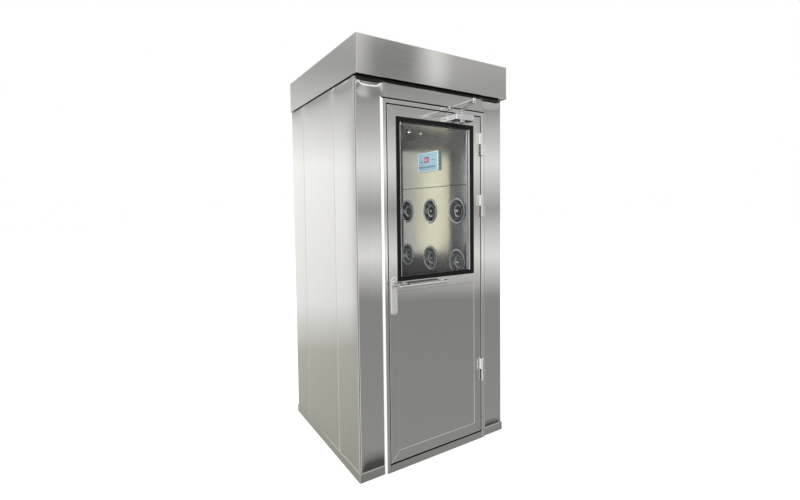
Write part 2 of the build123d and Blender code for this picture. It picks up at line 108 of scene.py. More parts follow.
def add_node(tree: Tree, kind: str, sockets: dict | None = None,
             links: dict | None = None,
             stops: list[tuple[float, float | tuple]] | None = None,
             **settings: object) -> Node:
    """Add one shader node with its settings, values and links.

    Args:
        tree: the node tree that gets the node.
        kind: Blender's name of the node type.
        sockets: values for input sockets, by name or number.
        links: what feeds input sockets, as wire() takes it.
        stops: place and colour or grey level of each stop, where the node has a colour ramp.
        settings: attributes of the node itself.

    Returns:
        The new node.
    """
    node = tree.nodes.new(kind)
    for key, value in settings.items():
        setattr(node, key, value)
    wire(tree, node, sockets or {}, links or {})
    for number, (place, colour) in enumerate(stops or []):
        elements = node.color_ramp.elements
        if number >= len(elements):
            elements.new(place)
        elements[number].position = place
        elements[number].color = grey(colour) if isinstance(colour, float) else colour
    return node


def grey(level: float) -> tuple[float, float, float, float]:
    """A neutral linear colour of one level."""
    return (level, level, level, 1.0)


def new_material(name: str) -> tuple[Material, Tree, Node, Socket]:
    """Start a node material.

    Args:
        name: the material's name.

    Returns:
        The material, its node tree, its shader, and the object coordinates.
    """
    material = bpy.data.materials.new(name)
    material.use_nodes = True
    tree = material.node_tree
    place = add_node(tree, "ShaderNodeTexCoord").outputs["Object"]
    return material, tree, tree.nodes["Principled BSDF"], place


def seen_directly(tree: Tree) -> Node:
    """A node that gives 1 to the camera's own rays, also through glass, and 0 to mirrored ones.

    Args:
        tree: the node tree that gets it.

    Returns:
        The node.
    """
    path = add_node(tree, "ShaderNodeLightPath")
    return add_node(tree, "ShaderNodeMath", links={0: path.outputs["Is Camera Ray"],
                                                   1: path.outputs["Is Transmission Ray"]},
                    operation="MAXIMUM")


def pick(*pieces: Piece) -> None:
    """Select only these pieces and make the first one active.

    Args:
        pieces: the pieces.
    """
    bpy.ops.object.select_all(action="DESELECT")
    for piece in pieces:
        piece.select_set(True)
    bpy.context.view_layer.objects.active = pieces[0]


class Grain(Enum):
    """Which way the grinding marks run on a sheet, as a direction in the part's frame."""

    UPRIGHT = (0.0, 0.1, 1.0)
    LEVEL_X = (1.0, 0.2, 0.0)
    LEVEL_Y = (0.2, 1.0, 0.0)


@dataclass(frozen=True)
class BrushedSteel:
    """Satin 304 stainless sheet, ground with a belt: fine parallel marks stretch each highlight
    across the grain, and the thin sheet is never quite flat, so reflections waver.

    Attributes:
        name: the material's name.
        colour: mean colour of the metal.
        roughness: mean roughness.
        anisotropy: how far highlights stretch across the grain.
        grain: which way the marks run.
        mark_mm: width of a grinding mark. Real marks are 0.05 mm, drawn coarser so that they show.
        mark_stretch: length of a mark as a multiple of its width.
        wave_mm: how far the sheet bulges.
        wave_lift: depth of the bump per bulge, because the noise uses little of its range.
        wave_span_mm: distance from one bulge to the next.
        pillow_mm: how far a folded panel swells between its edges.
        end_share: how far its upper and lower ends dip, as a share of the swelling.
        middle_power: how the swelling falls towards the long edges; more is flatter.
        end_power: how the dip falls towards the long edges.
        dip_power: how close to the ends the dip stays.
    """

    name: str
    colour: str
    roughness: float = 0.08
    anisotropy: float = 0.8
    grain: Grain = Grain.UPRIGHT
    mark_mm: float = 1.2
    mark_stretch: float = 160.0
    wave_mm: float = 0.5
    wave_lift: float = 8.0
    wave_span_mm: float = 420.0
    pillow_mm: float = 0.0
    end_share: float = 4.5
    middle_power: float = 2.0
    end_power: float = 4.0
    dip_power: float = 26.0

    def build(self, box: tuple[Vector, Vector] | None = None) -> Material:
        """Make the material.

        Args:
            box: lowest and highest corner of the panel that swells, in metres.

        Returns:
            A new node material.
        """
        material, tree, shader, place = new_material(self.name)
        across = 1 / (self.mark_mm * MM)
        along = across / self.mark_stretch
        stretch = {
            Grain.UPRIGHT: (across, across, along),
            Grain.LEVEL_X: (along, across, across),
            Grain.LEVEL_Y: (across, along, across),
        }[self.grain]
        laid = add_node(tree, "ShaderNodeMapping", {"Scale": stretch}, {"Vector": place})
        marks = add_node(tree, "ShaderNodeTexNoise",
                         {"Scale": 0.5, "Detail": 3.0, "Roughness": 0.6},
                         {"Vector": laid}).outputs["Fac"]
        span = 1 / (self.wave_span_mm * MM)
        waves = add_node(tree, "ShaderNodeTexNoise",
                         {"Scale": span, "Detail": 1.0, "Roughness": 0.3},
                         {"Vector": place}).outputs["Fac"]
        tone = add_node(tree, "ShaderNodeValToRGB", links={0: marks},
                        stops=[(0.3, shade_of(self.colour, 0.97)),
                               (0.7, shade_of(self.colour, 1.03))])
        rough = add_node(tree, "ShaderNodeMapRange",
                         {"From Min": 0.25, "From Max": 0.75,
                          "To Min": self.roughness * 0.85, "To Max": self.roughness * 1.2},
                         {"Value": marks})
        bulge = add_node(tree, "ShaderNodeBump",
                         {"Strength": 1.0, "Distance": self.wave_mm * MM * self.wave_lift},
                         {"Height": waves})
        top = bulge.outputs[0]
        if box is not None and self.pillow_mm:
            top = self.swell(tree, place, box, top)
        scratch = add_node(tree, "ShaderNodeBump", {"Strength": 0.12, "Distance": 0.02 * MM},
                           {"Height": marks, "Normal": top})
        flat = add_node(tree, "ShaderNodeNewGeometry").outputs["Normal"]
        crosswise = add_node(tree, "ShaderNodeVectorMath", {1: self.grain.value}, {0: flat},
                             operation="CROSS_PRODUCT")
        wire(tree, shader, {"Metallic": 1.0, "Anisotropic": self.anisotropy},
             {"Base Color": tone, "Roughness": rough, "Normal": scratch, "Tangent": crosswise})
        return material

    def swell(self, tree: Tree, place: Socket,
              box: tuple[Vector, Vector], below: Socket) -> Socket:
        """Swell a panel softly between its edges.

        Args:
            tree: the material's node tree.
            place: the object coordinates.
            box: lowest and highest corner of the panel, in metres.
            below: the normal that the swelling is laid over.

        Returns:
            The normal output with the swelling.
        """
        low, high = Vector(box[0]), Vector(box[1])
        half = [max(0.001, (b - a) / 2) for a, b in zip(low, high)]
        thin = half.index(min(half))
        scale = [0.0 if number == thin else 1 / size for number, size in enumerate(half)]
        middle = (low + high) / 2
        shift = [-m * s for m, s in zip(middle, scale)]
        unit = add_node(tree, "ShaderNodeMapping", {"Scale": scale, "Location": shift},
                        {"Vector": place})
        axes = add_node(tree, "ShaderNodeSeparateXYZ", links={0: unit})
        bare = [add_node(tree, "ShaderNodeMath", links={0: axis}, operation="ABSOLUTE").outputs[0]
                for axis in axes.outputs]
        swellings = []
        for power in (self.middle_power, self.end_power):
            falls = []
            for distance in bare[:2]:
                risen = add_node(tree, "ShaderNodeMath", {1: power}, {0: distance},
                                 operation="POWER")
                falls.append(add_node(tree, "ShaderNodeMath", {0: 1.0}, {1: risen},
                                      operation="SUBTRACT", use_clamp=True).outputs[0])
            swellings.append(add_node(tree, "ShaderNodeMath", links={0: falls[0], 1: falls[1]},
                                      operation="MULTIPLY").outputs[0])
        near_end = add_node(tree, "ShaderNodeMath", {1: self.dip_power}, {0: bare[2]},
                            operation="POWER")
        dip = add_node(tree, "ShaderNodeMath", links={0: swellings[1], 1: near_end},
                       operation="MULTIPLY")
        deep = add_node(tree, "ShaderNodeMath", {1: self.end_share}, {0: dip},
                        operation="MULTIPLY")
        dome = add_node(tree, "ShaderNodeMath", links={0: swellings[0], 1: deep},
                        operation="SUBTRACT")
        return add_node(tree, "ShaderNodeBump", {"Strength": 1.0, "Distance": self.pillow_mm * MM},
                        {"Height": dome, "Normal": below}).outputs[0]


@dataclass(frozen=True)
class PolishedSteel:
    """Polished stainless fittings: nearly a mirror, with faint buffing haze.

    Attributes:
        name: the material's name.
        colour: colour of the metal.
        roughness: mean roughness.
        haze_mm: size of the buffing patches.
    """

    name: str
    colour: str
    roughness: float = 0.1
    haze_mm: float = 9.0

    def build(self) -> Material:
        """Make the material.

        Returns:
            A new node material.
        """
        material, tree, shader, place = new_material(self.name)
        haze = add_node(tree, "ShaderNodeTexNoise",
                        {"Scale": 1 / (self.haze_mm * MM), "Detail": 4.0},
                        {"Vector": place}).outputs["Fac"]
        rough = add_node(tree, "ShaderNodeMapRange",
                         {"From Min": 0.3, "From Max": 0.7,
                          "To Min": self.roughness * 0.7, "To Max": self.roughness * 1.4},
                         {"Value": haze})
        tone = add_node(tree, "ShaderNodeValToRGB", links={0: haze},
                        stops=[(0.35, shade_of(self.colour, 0.95)), (0.65, linear(self.colour))])
        wire(tree, shader, {"Metallic": 1.0}, {"Base Color": tone, "Roughness": rough})
        return material


@dataclass(frozen=True)
class MouldedFinish:
    """A moulded or extruded non-metal, such as rubber or plastic, with a fine skin texture.

    Attributes:
        name: the material's name.
        colour: mean colour.
        roughness: mean roughness.
        pit_mm: size of the skin's pits.
        pit_depth_mm: depth of the pits.
        ior: index of refraction.
        glow: how brightly it shines by itself, where 1 is white.
    """

    name: str
    colour: str
    roughness: float = 0.5
    pit_mm: float = 0.8
    pit_depth_mm: float = 0.02
    ior: float = 1.5
    glow: float = 0.0

    def build(self) -> Material:
        """Make the material.

        Returns:
            A new node material.
        """
        material, tree, shader, place = new_material(self.name)
        pits = add_node(tree, "ShaderNodeTexNoise",
                        {"Scale": 1 / (self.pit_mm * MM), "Detail": 2.0},
                        {"Vector": place}).outputs["Fac"]
        tone = add_node(tree, "ShaderNodeValToRGB", links={0: pits},
                        stops=[(0.35, shade_of(self.colour, 0.85)), (0.65, linear(self.colour))])
        bump = add_node(tree, "ShaderNodeBump",
                        {"Strength": 0.6, "Distance": self.pit_depth_mm * MM}, {"Height": pits})
        wire(tree, shader, {"Roughness": self.roughness, "IOR": self.ior,
                            "Emission Color": linear(self.colour), "Emission Strength": self.glow},
             {"Base Color": tone, "Normal": bump})
        return material


@dataclass(frozen=True)
class WindowGlass:
    """Clear float glass: a thin pane that lets the view through, with a sharp gloss on it."""

    name: str = "clear_float_glass"
    tint: str = "#fdfefe"

    def build(self) -> Material:
        """Make the material.

        Returns:
            A new node material.
        """
        material, tree, unused, place = new_material(self.name)
        tree.nodes.remove(unused)
        clear = add_node(tree, "ShaderNodeBsdfTransparent", {"Color": linear(self.tint)})
        film = add_node(tree, "ShaderNodeTexNoise", {"Scale": 6.0, "Detail": 2.0},
                        {"Vector": place})
        rough = add_node(tree, "ShaderNodeMapRange", {"To Min": 0.0, "To Max": 0.03},
                         {"Value": film.outputs["Fac"]})
        gloss = add_node(tree, "ShaderNodeBsdfGlossy", {"Color": grey(1.0)},
                         {"Roughness": rough})
        edge = add_node(tree, "ShaderNodeFresnel", {"IOR": 1.25})
        mix = add_node(tree, "ShaderNodeMixShader",
                       links={0: edge, 1: clear, 2: gloss})
        wire(tree, tree.nodes["Material Output"], {}, {"Surface": mix})
        return material


class Finishes:
    """Every finish of the object."""

    def __init__(self) -> None:
        """Build the materials that several pieces share, and note those made for each panel."""
        # Wall panels: upright grain draws soft level bands, and the thin sheet swells a little.
        self.panel = BrushedSteel("satin_steel_panel", "#d0cfcc", pillow_mm=1.6, wave_mm=0.25)
        # Door leaf: the same sheet, flatter over its core and a shade darker.
        self.door = BrushedSteel("satin_steel_door", "#cbcac6", wave_mm=0.15)
        # Door frame: the brightest sheet, stiff and straight.
        self.frame = BrushedSteel("bright_steel_frame", "#d6d5d2", wave_mm=0.08)
        # Hood: grain along it, so that lit strips stand upright on its front.
        self.hood = BrushedSteel("satin_steel_hood", "#cdccc8", grain=Grain.LEVEL_X,
                                 roughness=0.1, wave_mm=0.3)
        # Deck: steel painted dark as painted shade under the hood.
        self.deck = BrushedSteel("painted_shade_deck_steel", "#55544f", grain=Grain.LEVEL_X, wave_mm=0.1)
        # Plinth and sills: scuffed by feet and a little darker.
        self.base = BrushedSteel("satin_steel_plinth", "#c4c4bf", grain=Grain.LEVEL_Y, wave_mm=0.1)
        # Lining: level grain, which smears what the chamber's walls mirror upwards.
        self.lining = BrushedSteel("satin_steel_lining", "#cfcdca", grain=Grain.LEVEL_Y,
                                   roughness=0.16, anisotropy=0.9, wave_mm=0.15)
        # Small fittings: crisp glints.
        self.chrome = PolishedSteel("buffed_stainless_steel", "#dcdcda").build()
        # Nozzle rims and horn lips: near-white non-metal as a painted highlight, standing for
        # polished steel that catches the light, so they stand out from the bowls.
        self.rim_highlight = MouldedFinish("painted_highlight_rim_white", "#f1f2f2", roughness=0.25,
                                  pit_depth_mm=0.004).build()
        # Nozzle bowls: steel darkened as painted shade and painted dark reflection, which makes
        # the depth of the flare plain.
        self.bowl = PolishedSteel("painted_shade_bowl_steel", "#8c8c8a", roughness=0.08).build()
        # Closer: a soft metallic gloss without grain.
        self.silver = PolishedSteel("silver_lacquered_casting", "#e0e1e2", roughness=0.2,
                                    haze_mm=60.0).build()
        # Lock plate: blasted, so it gathers light from a wide angle and looks nearly white.
        self.plate = PolishedSteel("blasted_steel_lock_plate", "#f4f2ee", roughness=0.45).build()
        # Gasket and seal: a near-black outline round the glass.
        self.rubber = MouldedFinish("extruded_black_rubber", "#060607", roughness=0.5,
                                    ior=1.33).build()
        # Joints: dark sealant. Keyway, nozzle rings and glazing webs: black as painted shade,
        # without gloss.
        self.shade_and_joint_black = MouldedFinish("painted_shade_and_joint_black", "#050505", roughness=0.8).build()
        # Window: clear, with a sharp gloss at low angles.
        self.glass = WindowGlass().build()
        # Spacing channels: fine white lines inside the glass; their faint glow is painted light.
        self.aluminium = MouldedFinish("white_channel_painted_glow", "#f2f3f2", roughness=0.35,
                                       pit_depth_mm=0.005, glow=0.05).build()
        # Keypad: a pale blue printed patch on the steel; its glow is painted light.
        self.film = MouldedFinish("keypad_film_painted_glow", "#9cc0cf", roughness=0.45,
                                  glow=0.15).build()
        # Keypad rim: a thin pale border; its glow is painted light that keeps it white in the dim
        # chamber.
        self.film_edge = MouldedFinish("white_rim_painted_glow", "#eef0f0", roughness=0.4,
                                       glow=0.25).build()
        # Keys: small dark dots.
        self.key = MouldedFinish("keypad_dot", "#1f4f66", roughness=0.5).build()
        # Display: the one strong colour of the object.
        self.display = MouldedFinish("red_digit_window", "#7d1712", roughness=0.2,
                                     glow=0.25).build()
        # Digit bars: lit pink on the red window.
        self.digit = MouldedFinish("lit_digit", "#ff7a86", roughness=0.3, glow=0.9).build()
        # Lamp cover: a small warm point of light in the ceiling.
        self.lamp = MouldedFinish("opal_lamp_cover", "#fff6e4", roughness=0.4, glow=3.0).build()

    def for_node(self, kind: str, name: str) -> Material:
        """The material of a carried-over node.

        Args:
            kind: name of the finish here.
            name: name of the node.

        Returns:
            A shared material, or one made to the panel's own size.
        """
        own = {"roof_deck": self.deck, "lock_plate": self.plate}
        finish = own.get(name) or getattr(self, kind)
        if isinstance(finish, BrushedSteel):
            return finish.build(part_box(name))
        return finish


SLOT_FINISH = {
    "panel_steel": "panel", "hood_steel": "hood", "base_steel": "base", "lining_steel": "lining",
    "frame_steel": "frame", "door_steel": "door", "nozzle_chrome": "chrome",
    "polished_steel": "chrome", "seal_rubber": "rubber", "window_glass": "glass",
    "channel_aluminium": "aluminium", "lamp_cover": "lamp", "control_face": "film",
    "closer_silver": "silver",
}


def dress_nodes(finishes: Finishes) -> None:
    """Give every carried-over node the finish of its slot.

    Args:
        finishes: the finishes.
    """
    slots = {row["node"]: row["material_slot"] for row in frame["record"]["subparts"]}
    for name, node in frame["nodes"].items():
        material = finishes.for_node(SLOT_FINISH[slots[name]], name)
        for slot in node.material_slots:
            slot.material = material
        log.info("node %s: %s", name, material.name)


def place_mm(x: float, y: float, z: float) -> Vector:
    """A point given in millimetres, in metres."""
    return Vector((x, y, z)) * MM


def turn_to(axis: Vector) -> tuple[float, float, float]:
    """The turn that brings +Z onto a direction, as Euler angles."""
    return tuple(Vector((0, 0, 1)).rotation_difference(axis).to_euler())


class SubAssembly:
    """What all fitted sub-assemblies share: shaping in edit mode, finishing and fixing."""

    def turned(self, rings: list[tuple[float, float]], centre: Vector, axis: Vector,
               sides: int = 48) -> Piece:
        """Shape a round piece: a disc that is extruded and scaled from ring to ring.

        Args:
            rings: radius and height of each ring along the axis, in millimetres.
            centre: where height 0 is, in metres.
            axis: direction of growing height.
            sides: flats round the piece.

        Returns:
            The closed piece.
        """
        axis = axis.normalized()
        radius, height = rings[0]
        bpy.ops.object.select_all(action="DESELECT")
        bpy.ops.mesh.primitive_circle_add(
            vertices=sides, radius=radius * MM, fill_type="NGON",
            location=centre + axis * height * MM, rotation=turn_to(axis))
        piece = bpy.context.object
        bpy.ops.object.mode_set(mode="EDIT")
        bpy.ops.mesh.select_mode(type="FACE")
        bpy.ops.mesh.select_all(action="SELECT")
        for next_radius, next_height in rings[1:]:
            step = axis * (next_height - height) * MM
            bpy.ops.mesh.extrude_region_move(TRANSFORM_OT_translate={"value": step})
            share = next_radius / radius
            bpy.ops.transform.resize(value=(share, share, share),
                                     center_override=centre + axis * next_height * MM)
            radius, height = next_radius, next_height
        bpy.ops.mesh.select_all(action="SELECT")
        bpy.ops.mesh.normals_make_consistent(inside=False)
        bpy.ops.object.mode_set(mode="OBJECT")
        return piece

    def block(self, low: Vector, high: Vector, bevel_mm: float, segments: int = 2) -> Piece:
        """Shape a box with rounded edges.

        Args:
            low: lowest corner, in metres.
            high: highest corner, in metres.
            bevel_mm: width of the rounding.
            segments: steps of the rounding.

        Returns:
            The rounded piece.
        """
        bpy.ops.object.select_all(action="DESELECT")
        bpy.ops.mesh.primitive_cube_add(size=1.0, location=(low + high) / 2, scale=high - low)
        piece = bpy.context.object
        bpy.ops.object.transform_apply(location=True, rotation=True, scale=True)
        bpy.ops.object.mode_set(mode="EDIT")
        bpy.ops.mesh.select_mode(type="EDGE")
        bpy.ops.mesh.select_all(action="SELECT")
        bpy.ops.mesh.bevel(offset=bevel_mm * MM, segments=segments, affect="EDGES")
        bpy.ops.object.mode_set(mode="OBJECT")
        return piece

    def screw(self, centre: Vector, axis: Vector, radius_mm: float) -> Piece:
        """Shape a raised screw head with a hexagon socket.

        Args:
            centre: middle of the head where it sits on its plate, in metres.
            axis: direction the head looks in.
            radius_mm: radius of the head.

        Returns:
            The head.
        """
        r = radius_mm
        head = self.turned([(r, -0.2), (r, r * 0.3), (r * 0.85, r * 0.55), (r * 0.5, r * 0.62)],
                           centre, axis, 24)
        socket = self.turned([(r * 0.46, r * 0.64), (r * 0.44, r * 0.1)], centre, axis, 6)
        cut = head.modifiers.new("socket", "BOOLEAN")
        cut.object = socket
        bpy.context.view_layer.objects.active = head
        bpy.ops.object.modifier_apply(modifier=cut.name)
        bpy.data.objects.remove(socket)
        return head

    def joined(self, pieces: list[Piece]) -> Piece:
        """Join several pieces into one mesh.

        Args:
            pieces: the pieces, of which the first stays.

        Returns:
            The joined piece.
        """
        pick(*pieces)
        if len(pieces) > 1:
            bpy.ops.object.join()
        return bpy.context.object

    def copied(self, piece: Piece, step: Vector) -> Piece:
        """Copy a piece with a mesh of its own.

        Args:
            piece: the piece.
            step: how far the copy is moved, in metres.

        Returns:
            The copy.
        """
        twin = piece.copy()
        twin.data = piece.data.copy()
        bpy.context.collection.objects.link(twin)
        twin.location = piece.location + step
        return twin

    def mirrored(self, piece: Piece, axis: int) -> Piece:
        """Copy a finished piece to the other side of the part.

        Args:
            piece: a piece whose place is in its mesh.
            axis: 0 for across the width, 1 for across the depth.

        Returns:
            The copy, with outward faces.
        """
        twin = self.copied(piece, Vector())
        scale = Matrix.Identity(4)
        scale[axis][axis] = -1.0
        twin.data.transform(scale)
        twin.data.flip_normals()
        return twin

    def finish(self, piece: Piece, name: str, material: Material, body: str,
               slot: str, replaced: tuple[str, ...] = (),
               smooth_deg: float = 35.0) -> Piece:
        """Put a piece's place in its mesh, dress it and fix it to its body.

        Args:
            piece: the shaped piece.
            name: its name.
            material: its finish.
            body: the body it moves with.
            slot: the record's material slot; not used.
            replaced: nodes that it stands for.
            smooth_deg: edges flatter than this are shaded smooth.

        Returns:
            The finished piece.
        """
        pick(piece)
        bpy.ops.object.transform_apply(location=True, rotation=True, scale=True)
        bpy.ops.object.shade_smooth_by_angle(angle=math.radians(smooth_deg))
        piece.name = name
        if not piece.data.materials:
            piece.data.materials.append(material)
        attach(piece, body)
        if replaced:
            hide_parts(*replaced)
        log.info("piece %s: %d faces, %s, on %s", name, len(piece.data.polygons), material.name,
                 body)
        return piece

    def at_both_doors(self, piece: Piece, name: str, material: Material,
                      body: str, slot: str) -> None:
        """Finish a piece of the front door and its twin at the rear door, which stays shut.

        Args:
            piece: the shaped front piece.
            name: its name.
            material: the finish of both.
            body: the body that the front piece moves with.
            slot: the record's material slot.
        """
        front = self.finish(piece, name, material, body, slot)
        self.finish(self.mirrored(front, 1), f"rear_{name}", material, "cabinet", slot)


@dataclass
class AirNozzles(SubAssembly):
    """Two rows of three air nozzles on each side wall: a rolled rim, a bowl and a flared horn.

    Attributes:
        wall_x: inner face of the wall, in millimetres.
        rows: heights of the rows.
        places: places along the wall.
        rings: radius and height above the wall of each ring.
        shadow_ring_radius: beyond it lies the black ring, a painted shadow under the rim.
        rim_radius: beyond it and above the wall lies the rolled rim.
        lip_radii: between them lies the horn's lip.
        lip_depth: how deep the painted highlight on the lip goes.
    """

    wall_x: float = 300.0
    rows: tuple[float, ...] = (1062.0, 1387.0)
    places: tuple[float, ...] = (-298.0, 4.0, 306.0)
    rings: tuple[tuple[float, float], ...] = (
        # back of the throat and outside of the bowl, up to the wall
        (18.0, -49.4), (18.4, -40.0), (47.0, -38.4), (53.0, -35.4), (58.0, -29.4), (62.4, -22.0),
        (66.4, -15.0), (69.2, -8.6), (70.8, -3.0), (71.2, -0.4),
        # black ring painted as the shadow under the rim, and rolled rim
        (84.6, 0.0), (84.9, 1.0), (82.4, 1.3), (81.6, 2.8), (80.4, 4.4), (78.4, 5.6), (76.0, 6.0),
        (73.6, 5.4), (71.6, 3.8), (70.2, 1.4),
        # inside of the bowl
        (69.2, -3.0), (67.4, -8.0), (64.4, -14.0), (60.4, -21.0), (56.0, -28.0), (51.0, -33.6),
        (46.0, -36.0), (36.0, -36.6), (32.4, -35.0), (32.0, -30.0), (33.0, -22.0), (35.6, -14.0),
        # lip of the flared horn
        (38.6, -9.4), (40.0, -8.0), (39.8, -7.2), (38.6, -7.0), (36.4, -8.4),
        # inside of the horn, down to the throat's floor
        (33.0, -12.0), (29.0, -17.0), (25.0, -21.6), (21.4, -26.4), (18.6, -31.4), (16.8, -36.6),
        (16.0, -42.0), (15.8, -47.0), (11.0, -47.6), (6.0, -46.4), (0.6, -46.0))
    shadow_ring_radius: float = 82.2
    rim_radius: float = 70.5
    lip_radii: tuple[float, float] = (33.0, 41.0)
    lip_depth: float = -13.0

    def build(self, finishes: Finishes) -> None:
        """Make the nozzles of both walls.

        Args:
            finishes: the finishes.
        """
        for side, sign in (("left", -1), ("right", 1)):
            axis = Vector((-sign, 0.0, 0.0))
            centre = place_mm(sign * self.wall_x, self.places[0], self.rows[0])
            first = self.turned(list(self.rings), centre, axis, 72)
            for material in (finishes.bowl, finishes.rim_highlight, finishes.shade_and_joint_black):
                first.data.materials.append(material)
            for face in first.data.polygons:
                from_centre = first.matrix_world @ face.center - centre
                height = from_centre.dot(axis) / MM
                radius = (from_centre - axis * height * MM).length / MM
                # Faces beyond the rim at the wall take the black painted shadow.
                on_shadow_ring = radius > self.shadow_ring_radius
                on_rim = radius > self.rim_radius and height > 0.3
                on_lip = (self.lip_radii[0] < radius < self.lip_radii[1]
                          and height > self.lip_depth)
                # Rims and lips take the white painted highlight; the bowls take the darkened
                # painted shade.
                face.material_index = 2 if on_shadow_ring else 1 if on_rim or on_lip else 0
            copies = [first]
            for z in self.rows:
                for y in self.places:
                    if (y, z) != (self.places[0], self.rows[0]):
                        step = place_mm(0.0, y - self.places[0], z - self.rows[0])
                        copies.append(self.copied(first, step))
            self.finish(self.joined(copies), f"{side}_air_nozzles", finishes.bowl, "cabinet",
                        "nozzle_chrome", (f"{side}_nozzles",), 50.0)


@dataclass
class HingeFittings(SubAssembly):
    """Screws on the hinge plates and turned caps on the barrels.

    Attributes:
        hinge_x: barrel axis across the width, in millimetres.
        hinge_y: barrel axis in the depth.
        heights: middles of the hinges.
        hinge_tall: height of a hinge.
        plate_front: how far forward the plates come, on the door and on the frame.
        screw_out: distance of the screws from the axis.
    """

    hinge_x: float = 315.5
    hinge_y: float = -521.0
    heights: tuple[float, ...] = (430.0, 1418.0, 1780.0)
    hinge_tall: float = 128.0
    plate_front: tuple[float, float] = (-512.0, -514.0)
    screw_out: float = 20.5

    def build(self, finishes: Finishes) -> None:
        """Make the screws and caps of the front hinges and their twins at the rear.

        Args:
            finishes: the finishes.
        """
        half = self.hinge_tall / 2
        cap = [(8.5, -0.5), (8.9, 0.5), (8.9, 2.0), (8.0, 3.2), (6.0, 4.4), (3.0, 5.2), (0.5, 5.5)]
        parts: dict[str, list[Piece]] = {"front_door": [], "cabinet": []}
        for middle in self.heights:
            for body, sign, plate, levels in (
                    ("front_door", -1, self.plate_front[0], (15, 47)),
                    ("cabinet", 1, self.plate_front[1], (-15, -47))):
                for level in levels:
                    spot = place_mm(self.hinge_x + sign * self.screw_out, plate, middle + level)
                    parts[body].append(self.screw(spot, FRONT, 4.2))
            for body, sign in (("front_door", 1), ("cabinet", -1)):
                end = place_mm(self.hinge_x, self.hinge_y, middle + sign * half)
                parts[body].append(self.turned(cap, end, UP * sign, 32))
        for body, pieces in parts.items():
            self.at_both_doors(self.joined(pieces), f"{body}_hinge_screws_and_caps",
                               finishes.chrome, body, "polished_steel")


@dataclass
class LockFittings(SubAssembly):
    """The cylinder's face with its keyway and the screws of the lock plate.

    Attributes:
        lock_x: middle of the plate across the width, in millimetres.
        plate_front: front face of the plate.
        cylinder_front: front face of the cylinder.
        cylinder_z: height of the cylinder.
        screw_heights: heights of the plate's screws.
    """

    lock_x: float = -286.0
    plate_front: float = -516.0
    cylinder_front: float = -520.0
    cylinder_z: float = 856.0
    screw_heights: tuple[float, float] = (890.0, 1036.0)

    def build(self, finishes: Finishes) -> None:
        """Make the cylinder's face, its keyway and the screws.

        Args:
            finishes: the finishes.
        """
        face = place_mm(self.lock_x, self.cylinder_front, self.cylinder_z)
        ring = self.turned([(8.5, -3.8), (9.6, -3.6), (9.8, -0.4), (9.2, 0.6), (7.6, 1.0),
                            (7.0, 0.2), (6.8, -0.6), (0.5, -0.5)], face, FRONT, 40)
        heads = [self.screw(place_mm(self.lock_x, self.plate_front, z), FRONT, 3.4)
                 for z in self.screw_heights]
        self.at_both_doors(self.joined([ring, *heads]), "lock_cylinder_and_screws",
                           finishes.chrome, "front_door", "polished_steel")
        # The keyway is a black bar on the cylinder's face, painted shade in place of a slot.
        keyway = self.block(face + place_mm(-0.7, -0.9, -4.2), face + place_mm(0.7, 0.6, 4.2), 0.3)
        self.at_both_doors(keyway, "lock_keyway", finishes.shade_and_joint_black, "front_door", "seal_rubber")


@dataclass
class CloserFittings(SubAssembly):
    """Valve screws on the closer's end, a ball at the elbow, and screws of foot and plate.

    Attributes:
        left: left end of the body, in millimetres.
        right: right end of the body.
        low: underside of the body.
        high: top of the body.
        leaf_front: front face of the door leaf.
        elbow: place of the elbow.
        elbow_low: underside of the main arm at the elbow.
        foot_screws: places of the foot's screws.
        foot_front: front face of the foot's plate.
    """

    left: float = 74.0
    right: float = 204.0
    low: float = 1890.0
    high: float = 1922.0
    leaf_front: float = -509.0
    elbow: tuple[float, float] = (57.0, -756.0)
    elbow_low: float = 1945.0
    foot_screws: tuple[tuple[float, float], ...] = ((37.0, 1953.5), (46.0, 1953.5))
    foot_front: float = -516.0

    def build(self, finishes: Finishes) -> None:
        """Make the closer's fittings.

        Args:
            finishes: the finishes.
        """
        leftward = Vector((-1.0, 0.0, 0.0))
        middle = (self.low + self.high) / 2
        valves = [self.screw(place_mm(self.left, self.leaf_front - out, middle), leftward, 4.0)
                  for out in (24.0, 40.0)]
        corners = [self.screw(place_mm(x, self.leaf_front - 5.0, z), FRONT, 2.6)
                   for x in (self.left - 3.6, self.right + 3.6)
                   for z in (self.low + 4.0, self.high - 4.0)]
        knob = self.turned([(6.0, -0.3), (8.6, 1.0), (9.6, 3.4), (9.4, 6.0), (8.0, 8.4),
                            (5.4, 10.0), (2.4, 10.8), (0.5, 11.0)],
                           place_mm(*self.elbow, self.elbow_low), -UP, 40)
        screws = [self.screw(place_mm(x, self.foot_front, z), FRONT, 3.0)
                  for x, z in self.foot_screws]
        for piece, name, body in (
                (self.joined([*valves, *corners]), "closer_screws", "front_door"),
                (knob, "closer_elbow_ball", "main_arm"),
                (self.joined(screws), "closer_foot_screws", "cabinet")):
            self.at_both_doors(piece, name, finishes.chrome, body, "closer_silver")


